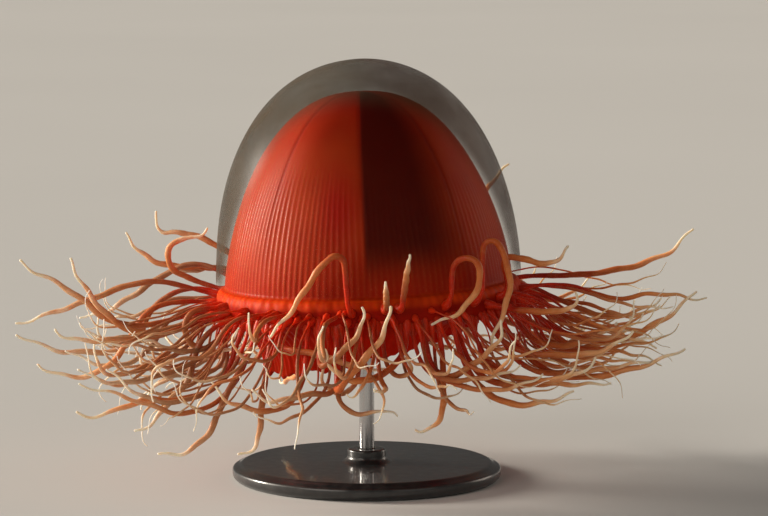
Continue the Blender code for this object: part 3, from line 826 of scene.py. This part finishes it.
# strands that only this model has: the same, and the radius in mm
CROSSING_TENTACLES = (
    (222, -72, (-70, -60, -20, 22, 18, 20), (222, 200, 186), 27, 0.30),
    (207, -50, (-48, -40, -8, 6, 36, 8), (206, 196, 188), 12.7, 0.30),
    (194, -38, (-2, -14, -12, -6, 10, 60), (196, 190, 184), 17.5, 0.32),
    (143, 20, (40, 25, 5, -12, 8, 30), (145, 165, 178), 12, 0.30),
    (178, -12, (-5, -20, -60, -25, 20, 40), (180, 184, 182), 21, 0.30),
    (209, -62, (-40, -35, -22, -8, 12, 40), (206, 196, 188), 21, 0.32),
    (220, -50, (-70, -58, -22, 4, 30, 52), (218, 202, 190), 23, 0.30),
    (246, -80, (-84, -80, -50, 0, 24, 75), (246, 200, 180, 180), 19, 0.34),
    (259, -80, (-88, -95, -60, 5, -8, 0, 60), (262, 230, 190, 180), 17.5, 0.34),
    (284, -60, (-62, -56, -40, -12, 14, 45, 85), (270, 210, 185, 180), 15.6, 0.40),
    (257, -84, (-86, -88, -95, -70, -20, 20, -50), (260, 300, 350, 360), 15.5, 0.30),
    (266, -80, (-95, -88, -100, -140, -190, -250, -330), (280, 330, 360), 14, 0.30),
    (227, -72, (-62, -12, -8, -14, -16, -8), (306, 330, 344, 352), 16.5, 0.38),
    (275, -70, (-95, -88, -75, -40, 20, 120, 220), (290, 340, 360), 10.5, 0.28),
    (286, -76, (-72, -62, -20, 2, 14, 28), (290, 340, 360), 17, 0.30),
    (290, -70, (-76, -66, -24, -2, 12, 24), (294, 342, 360), 19, 0.30),
    (312, -80, (-74, -60, -24, 0, -8, 10), (316, 348, 362), 20, 0.32),
    (323, -66, (-72, -54, -10, 0, 12, 10), (330, 352, 366), 22.5, 0.34),
    (258, -78, (-72, -80, -84, -28, 42, 46, 50, 54, 66, 84), (256, 262, 268, 332, 352, 358, 362), 20.2, 0.45),
)


def along(share, values):
    """Values spaced evenly from root to tip, read at each share of the way."""
    return np.interp(share, np.linspace(0, 1, len(values)), values)


def gesture(tentacle, phase, share):
    """(pitch, heading) in radians along a tentacle: its own, wavering by a sine past the root, with
    closer kinks that grow towards the tip."""
    wave = tentacle.wave * np.minimum(3 * share, 1)
    kink = KINK * share**2
    pitch = along(share, tentacle.pitches) + wave * np.sin(math.tau * (1.7 * share + phase))
    heading = along(share, tentacle.headings) + wave * np.sin(math.tau * (1.2 * share + 1.6 * phase + 0.3))
    pitch = pitch + kink * np.sin(math.tau * (5.3 * share + 3 * phase))
    heading = heading + kink * np.sin(math.tau * (4.1 * share + 5 * phase))
    return np.radians(pitch), np.radians(heading)


def centreline(tentacle, phase):
    """A tentacle's middle line, grown step by step from the ring along its gesture."""
    way = direction(*gesture(tentacle, phase, (np.arange(TENTACLE_STEPS) + 0.5) / TENTACLE_STEPS))
    azimuth, tier = math.radians(tentacle.azimuth), math.radians(tentacle.tier)
    reach = RING_RADIUS + (RING_HALF_WIDTH + GAP) * math.cos(tier)
    height = (RING_HALF_HEIGHT + GAP) * math.sin(tier) - RING_DROP
    root = np.array([reach * math.cos(azimuth), reach * math.sin(azimuth), height])
    return np.concatenate([root[None], root + np.cumsum(way, 0) * tentacle.length / TENTACLE_STEPS])


def thickness(share, middle):
    """A tentacle's radius along its length: a thin root, thickest past the middle, a blunt thin tip."""
    swell = 0.66 + 0.34 * np.sin(math.pi * np.clip(share / 0.95, 0, 1) ** 1.15)
    return middle * swell * (1 - 0.1 * np.clip((share - 0.7) / 0.3, 0, 1))


def clears_body(line):
    """Whether a tentacle's line stays outside the bell, the ring and the velum, and above the base."""
    past_root = line[8:]
    out, height = np.hypot(past_root[:, 0], past_root[:, 1]), past_root[:, 2]
    nearest = np.select(
        [
            height > VELUM_TOP,
            height > VELUM_TOP - 0.6 * VELUM_DEPTH,
            height > VELUM_TOP - VELUM_DEPTH - VELUM_SLANT,
        ],
        [BELL_RADIUS + BELL_CLEARANCE, VELUM_TOP_RADIUS + 0.6 * MM, VELUM_MOUTH_RADIUS + 1.7 * MM],
        4 * MM,
    )
    return (out > nearest).all() and placed(line)[:, 2].min() > LOWEST_TIP


def clearance(line, radii, other, other_radii):
    """The least distance between the surfaces of two tentacles."""
    apart = np.linalg.norm(line[:, None] - other[None], axis=2)
    return (apart - radii[:, None] - other_radii[None]).min()


def widest_gap(grown):
    """The middle and the width of the widest stretch of margin with no tentacle."""
    ordered = sorted(row[0].azimuth % 360 for row in grown)
    gaps = [(after - before, before) for before, after in zip(ordered, ordered[1:] + [ordered[0] + 360])]
    width, before = max(gaps)
    return before + width / 2, width


def draw_tentacle(chance, azimuth, tier):
    """A tentacle by chance: it droops from its tier, lifts towards the tip, and hooks up or down."""
    side = math.cos(math.radians(azimuth))
    front = -math.sin(math.radians(azimuth))
    leave = tier + chance.uniform(-9, 9)
    droop = leave - chance.uniform(0, 26)
    lift = chance.uniform(-30, 24)
    rise = lift + chance.uniform(0, 40)
    hook = rise + chance.choice((-1, 1)) * chance.uniform(10, 80)
    veer = chance.uniform(-28, 28)
    return Tentacle(
        azimuth=azimuth,
        tier=leave,
        pitches=(leave, droop, 0.6 * droop + 0.4 * lift, lift, rise, hook),
        headings=(azimuth, azimuth + veer, azimuth + (1.3 * veer + chance.uniform(-40, 40))),
        length=(22.5 - 1.8 * side - 1.5 * front + chance.uniform(-4, 3)) * MM,
    )


def draw_slender(chance, azimuth, tier):
    """A slender tentacle by chance: it hangs, more so in front and behind, and curls at its end."""
    side = math.cos(math.radians(azimuth))
    aside = abs(side)
    leave = tier + chance.uniform(-9, 9)
    sink = max(leave - chance.uniform(0, 36), -95)
    sweep = chance.uniform(-80, -34) * (1 - 0.6 * aside)
    lift = sweep + chance.uniform(6, 60) * (1 - 0.4 * aside)
    curl = lift + chance.choice((-1, 1, 1)) * chance.uniform(10, 150 - 90 * max(side, 0))
    outward = 180 if side < 0 else 360 * (azimuth > 180)
    combed = 0.2 if side < 0 else 0.5
    veer = combed * min(1.6 * aside, 1) * (outward - azimuth) + chance.uniform(-30, 30) / (0.6 + combed)
    return Tentacle(
        azimuth=azimuth,
        tier=leave,
        pitches=(leave, sink, sweep, lift, 0.6 * lift + 0.4 * curl, curl),
        headings=(azimuth, azimuth + veer, azimuth + 1.5 * veer + chance.uniform(-50, 50)),
        length=(15.5 + 5.5 * aside + chance.uniform(-4, 2.5)) * MM,
        wave=chance.uniform(6, 16),
    )


def grow_stout():
    """(tentacle, phase, line, radius) of the stout tentacles: those with a given gesture, then one in
    each widest gap. A drawn gesture that would touch the body or another tentacle is drawn again."""
    chance = random.Random(11)
    grown = []
    for rank, (*numbers, length) in enumerate(LEFT_TENTACLES + FRONT_TENTACLES + RIGHT_TENTACLES):
        tentacle, phase = Tentacle(*numbers, length * MM), 0.37 * rank % 1
        grown.append((tentacle, phase, centreline(tentacle, phase), TENTACLE_RADIUS))
    radii = thickness(SHARES, TENTACLE_RADIUS)[::3]
    while len(grown) < TENTACLES:
        middle, width = widest_gap(grown)
        tier = STOUT_TIERS[len(grown) % len(STOUT_TIERS)]
        while True:
            azimuth = (middle + chance.uniform(-0.15, 0.15) * width) % 360
            tentacle = draw_tentacle(chance, azimuth, tier)
            phase = chance.random()
            line = centreline(tentacle, phase)
            free = all(clearance(line[::3], radii, row[2][::3], radii) > 1.2 * GAP for row in grown)
            if free and clears_body(line):
                break
        grown.append((tentacle, phase, line, TENTACLE_RADIUS))
    return grown


def grow_slender(grown):
    """Adds the crossing strands, then a slender tentacle in each widest gap of the margin."""
    chance = random.Random(29)
    for rank, (*numbers, length, radius) in enumerate(CROSSING_TENTACLES):
        tentacle, phase = Tentacle(*numbers, length * MM), 0.31 * rank % 1
        grown.append((tentacle, phase, centreline(tentacle, phase), radius * MM))
    taken = np.concatenate([row[2][::2] for row in grown])
    taken_radii = np.concatenate([thickness(SHARES, row[3])[::2] for row in grown])
    for rank in range(SLENDER_TENTACLES):
        middle, width = widest_gap(grown)
        tier = SLENDER_TIERS[rank % len(SLENDER_TIERS)]
        for _ in range(SLENDER_TRIES):
            azimuth = (middle + chance.uniform(-0.3, 0.3) * width) % 360
            tentacle = draw_slender(chance, azimuth, tier)
            phase = chance.random()
            radius = SLENDER_RADIUS + SLENDER_EXTRA_RADIUS * chance.random() ** 1.6
            line = centreline(tentacle, phase)
            radii = thickness(SHARES, radius)
            low = LOWEST_SLENDER + LEFT_HANG * min(math.cos(math.radians(azimuth)), 0)
            if line[:, 2].min() < low or not clears_body(line):
                continue
            if clearance(line[::2], radii[::2], taken, taken_radii) > SLENDER_GAP:
                break
        grown.append((tentacle, phase, line, radius))
        taken = np.concatenate([taken, line[::2]])
        taken_radii = np.concatenate([taken_radii, radii[::2]])
    return grown


def held(values):
    """Values along a tentacle, kept up over the rings that close its two ends."""
    return np.concatenate([np.repeat(values[:1], 3), values, np.repeat(values[-1:], 5)])


def tentacle_skin(tentacle, phase, line, radius, warmth):
    """The rings of a round tube along the tentacle's line.

    Each ring's plane is square to the gesture there. The tube starts in the margin as a bulb, widened
    by a bell curve of the distance from the root, wavers in radius by two sines, and ends in a dome.
    """
    pitch, heading = gesture(tentacle, phase, SHARES)
    radii = thickness(SHARES, radius)
    uneven = 0.05 * np.sin(41 * SHARES + 9 * phase) + 0.03 * np.sin(97 * SHARES + 31 * phase)
    radii = radii * (1 + uneven * smooth(0.0, 0.1, SHARES)) * (1 - 0.35 * smooth(0.7, 1.0, SHARES))
    radii = radii + BULB_SWELL * np.exp(-((SHARES * tentacle.length / BULB_REACH) ** 2))
    way = direction(pitch, heading)
    dome_turn = np.radians([25, 48, 68, 82])
    back = ROOT_DEPTH * np.array([1.0, 1.0, 0.6])[:, None]
    past_tip = radii[-1] * np.append(np.sin(dome_turn), 1)[:, None]
    centres = np.concatenate([line[:1] - back * way[:1], line, line[-1:] + past_tip * way[-1:]])
    radii = np.concatenate([[0], radii[:1], radii[:1], radii, radii[-1] * np.cos(dome_turn), [0]])
    pitch, heading, share = held(pitch), held(heading), held(SHARES)
    side = direction(0 * pitch, heading + math.pi / 2)[:, None]
    up = direction(pitch + math.pi / 2, heading)[:, None]
    around = once_round(TENTACLE_SIDES)[:, None]
    points = centres[:, None] + radii[:, None, None] * (np.cos(around) * side + np.sin(around) * up)
    azimuth = math.radians(tentacle.azimuth)
    redness = 1 + 0.5 * max(-math.sin(azimuth), math.cos(azimuth), 0)
    marks = {"along": share[:, None] ** redness, "warmth": warmth}
    return placed(points), marks


arms, arms_tree = new_finish(
    "tentacle_flesh",
    Specular_IOR_Level=0.2,
    Subsurface_Weight=0.75,
    Subsurface_Radius=(1.0, 0.8, 0.65),
    Subsurface_Scale=0.6 * MM,
    Coat_Weight=0.03,
    Coat_Roughness=0.2,
)
arms_tissue = tissue_of(arms_tree, 650.0, 5200.0)
arms_shift = ranged(arms_tree, arms_tissue["Cloud"], -0.08, 0.08)
arms_along = reckoned(arms_tree, "ADD", marked(arms_tree, "along"), arms_shift)
warm_bands = [
    (0.0, (0.64, 0.026, 0.002)),
    (0.09, (0.46, 0.018, 0.002)),
    (0.24, (0.48, 0.085, 0.014)),
    (0.50, (0.66, 0.225, 0.065)),
    (0.74, (0.84, 0.43, 0.20)),
    (0.91, (0.98, 0.72, 0.52)),
]
pale_bands = [
    (0.0, (0.64, 0.030, 0.003)),
    (0.07, (0.42, 0.036, 0.008)),
    (0.19, (0.30, 0.105, 0.040)),
    (0.50, (0.38, 0.195, 0.095)),
    (0.73, (0.60, 0.41, 0.26)),
    (0.90, (0.98, 0.84, 0.68)),
]
warm_arms = banded(arms_tree, arms_along, warm_bands)
pale_arms = banded(arms_tree, arms_along, pale_bands)
arms_colour = mixed(arms_tree, marked(arms_tree, "warmth"), pale_arms, warm_arms)
arms_colour = tinged(arms_tree, arms_colour, arms_tissue["Specks"], 0.2, (0.70, 0.45, 0.30))
drive(arms_tree, Base_Color=arms_colour, Roughness=ranged(arms_tree, arms_tissue["Grain"], 0.28, 0.48))
bumped(arms_tree, arms_tissue["Grain"], 0.04 * MM)


def warmth_of(chance, azimuth, radius):
    """How orange a tentacle is, from 0 to 1: more so to the right and if stout, and partly by chance."""
    rightness = 0.5 + 0.5 * math.cos(math.radians(azimuth))
    stoutness = min((radius - WARM_FROM) / (TENTACLE_RADIUS - WARM_FROM), 1)
    return min(max(rightness + chance.uniform(-0.35, 0.45) + 0.35 * stoutness, 0), 1)


tint = random.Random(5)
sectors = [[] for _ in range(SECTORS)]
stands_for = [[] for _ in range(SECTORS)]
for rank, (tentacle, phase, line, radius) in enumerate(grow_slender(grow_stout()), 1):
    sector = int(tentacle.azimuth % 360 / (360 / SECTORS))
    warmth = warmth_of(tint, tentacle.azimuth, radius)
    sectors[sector].append(tentacle_skin(tentacle, phase, line, radius, warmth))
    if rank <= TENTACLES:
        name = f"tentacle_{rank:02d}"
        stands_for[sector] += sorted(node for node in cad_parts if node.startswith(name))
for number, (skins, nodes) in enumerate(zip(sectors, stands_for), 1):
    fringe = skin_mesh(f"tentacles_sector_{number}", skins, arms)
    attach(fringe, "root")
    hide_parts(*nodes)
